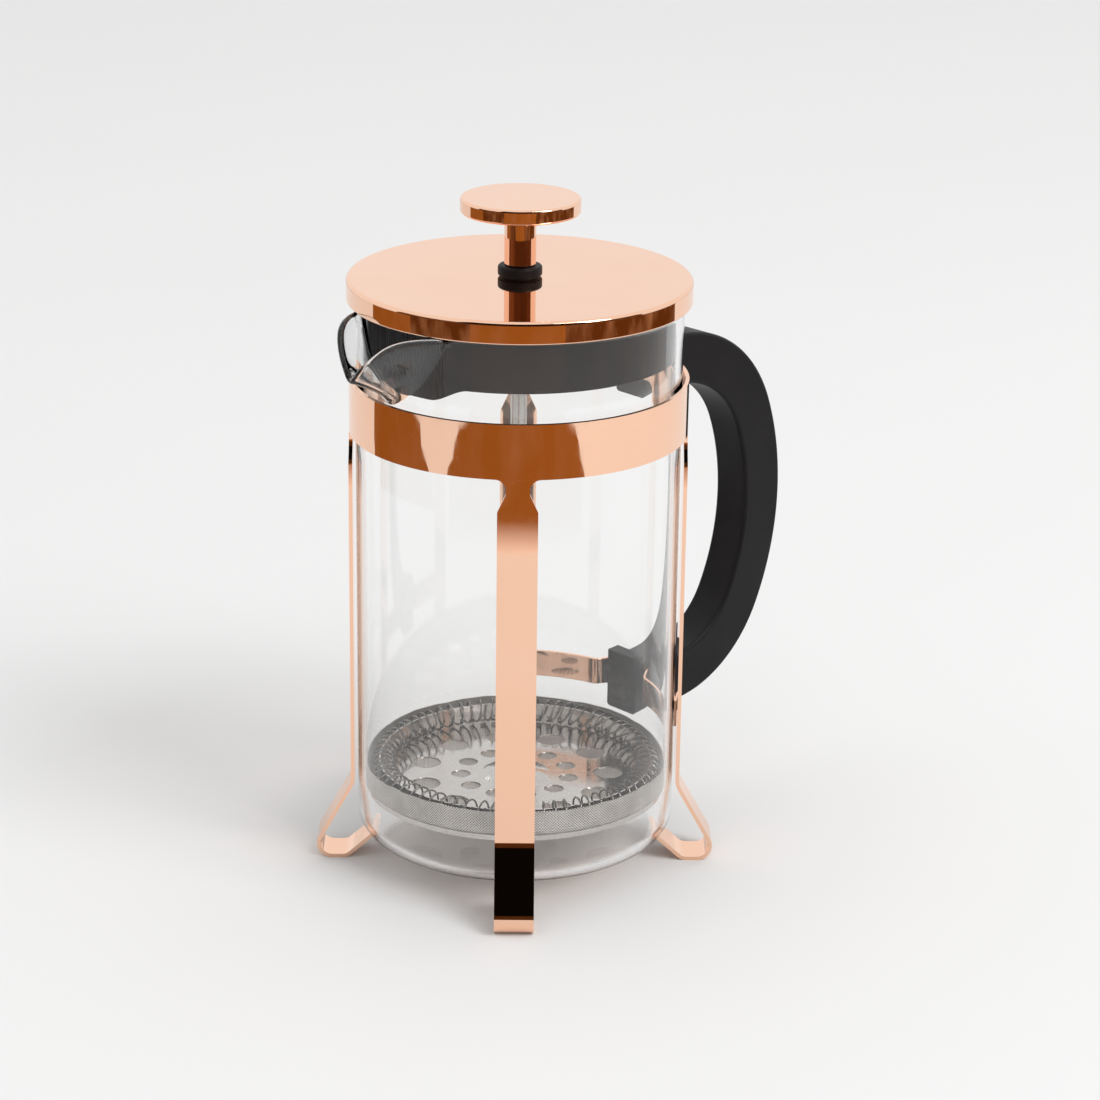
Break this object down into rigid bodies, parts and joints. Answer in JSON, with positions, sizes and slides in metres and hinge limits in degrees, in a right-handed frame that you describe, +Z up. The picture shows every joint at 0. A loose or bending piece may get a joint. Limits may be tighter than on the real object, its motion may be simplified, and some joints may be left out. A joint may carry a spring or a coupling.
{
  "type": "french press",
  "caption": "Glass cylinder coffee press in a copper-plated frame with a black handle, spout, lid and a plunger that carries a sprung wire-cloth filter.",
  "frame": {"origin": "the beaker's axis where it meets the surface that the four feet stand on", "axes": "+Z up along the beaker's axis, +X towards the handle, -X towards the spout, +Y across"},
  "size_m": [0.1825, 0.106, 0.2167],
  "materials": {
    "copper_plate": "polished",
    "black_plastic": "satin",
    "steel": "polished",
    "wire_cloth": "satin",
    "glass": "polished"
  },
  "bodies": {
    "frame": {"frame_band": "copper_plate", "leg_handle_left": "copper_plate", "leg_spout_left": "copper_plate", "leg_spout_right": "copper_plate", "leg_handle_right": "copper_plate", "handle_strap": "copper_plate", "handle": "black_plastic", "clamp_screw": "steel", "clamp_nut": "steel"},
    "beaker": {"glass_beaker": "glass"},
    "lid": {"lid_cover": "copper_plate", "lid_insert": "black_plastic"},
    "bushing": {"rod_bushing": "black_plastic", "bushing_clip": "steel"},
    "plunger": {"knob": "copper_plate", "knob_stem": "copper_plate", "plunger_rod": "steel", "rod_collar": "steel", "spiral_plate": "steel", "coil_spring": "steel", "mesh_screen": "wire_cloth", "cross_plate": "steel", "hub_nut": "steel"}
  },
  "joints": [
    {"name": "beaker_lift", "type": "slide", "parent": "frame", "child": "beaker", "axis": [0, 0, 1], "range_m": [0, 0.16]},
    {"name": "lid_lift", "type": "slide", "parent": "beaker", "child": "lid", "axis": [0, 0, 1], "range_m": [0, 0.17]},
    {"name": "plunger_turn", "type": "hinge", "parent": "lid", "child": "bushing", "pos_m": [0, 0, 0.19], "axis": [0, 0, 1], "continuous": true},
    {"name": "plunger_press", "type": "slide", "parent": "bushing", "child": "plunger", "axis": [0, 0, 1], "range_m": [0, 0.125]}
  ]
}
